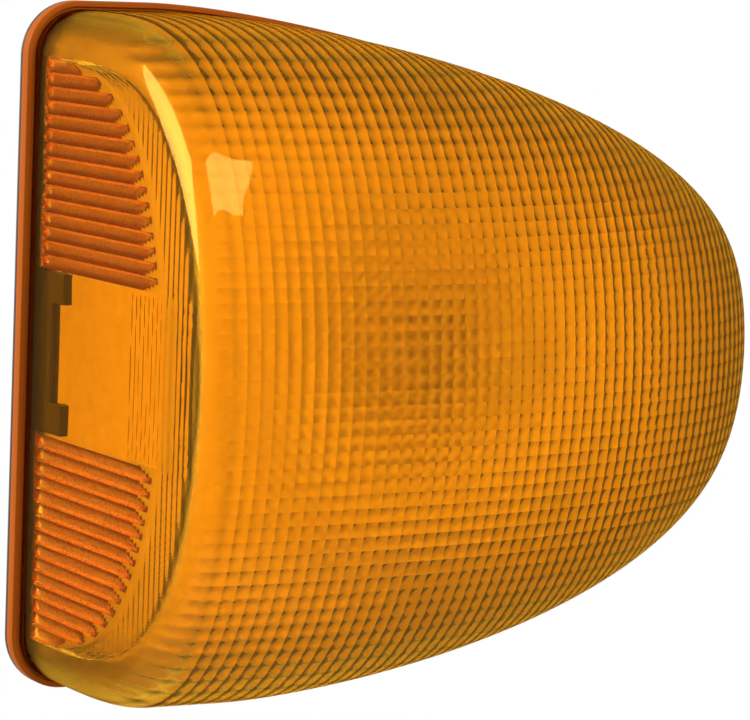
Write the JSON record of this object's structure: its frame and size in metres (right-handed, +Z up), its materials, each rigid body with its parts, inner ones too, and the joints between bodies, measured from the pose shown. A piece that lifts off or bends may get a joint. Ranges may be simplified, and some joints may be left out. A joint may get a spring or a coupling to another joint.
{
  "type": "vehicle indicator lamp",
  "caption": "Amber side indicator lamp: a deep dome lens with a flat ribbed end wall on a black back plate, with a bayonet bulb in a twist-lock holder and fixing studs.",
  "frame": {"origin": "middle of the two fixing studs, on the back of the gasket, which is the plane the lamp is fixed against", "axes": "+X from the flat end wall to the nose, +Z up, +Y backwards out of the fixing plane along the studs, so the lens bulges towards -Y"},
  "size_m": [0.1488, 0.1054, 0.1254],
  "materials": {
    "amber_lens": "clear glossy amber acrylic",
    "black_housing": "satin moulded",
    "sealant": "cured silicone",
    "black_rubber": "matte",
    "bright_reflector": "moulded bright white",
    "plated_steel": "zinc plated",
    "pale_holder": "natural, satin moulded",
    "plated_brass": "nickel plated",
    "contact_brass": "plain strip",
    "black_glass": "opaque gloss",
    "solder": "domed solder",
    "clear_glass": "clear blown",
    "bulb_wire": "drawn",
    "tungsten": "coiled wire"
  },
  "bodies": {
    "root": {"lens": "amber_lens", "housing": "black_housing", "seal_bead": "sealant", "mount_gasket": "black_rubber", "holder_seal": "black_rubber", "reflector": "bright_reflector", "reflector_screws": "plated_steel", "mount_studs": "plated_steel", "bulb_holder": "pale_holder", "holder_sleeve": "plated_brass", "live_contact": "contact_brass", "earth_contact": "contact_brass", "bulb_cap": "plated_brass", "bulb_pins": "plated_brass", "bulb_insulator": "black_glass", "bulb_contact": "solder", "bulb_glass": "clear_glass", "bulb_stem": "clear_glass", "bulb_wires": "bulb_wire", "bulb_filament": "tungsten"}
  },
  "joints": []
}
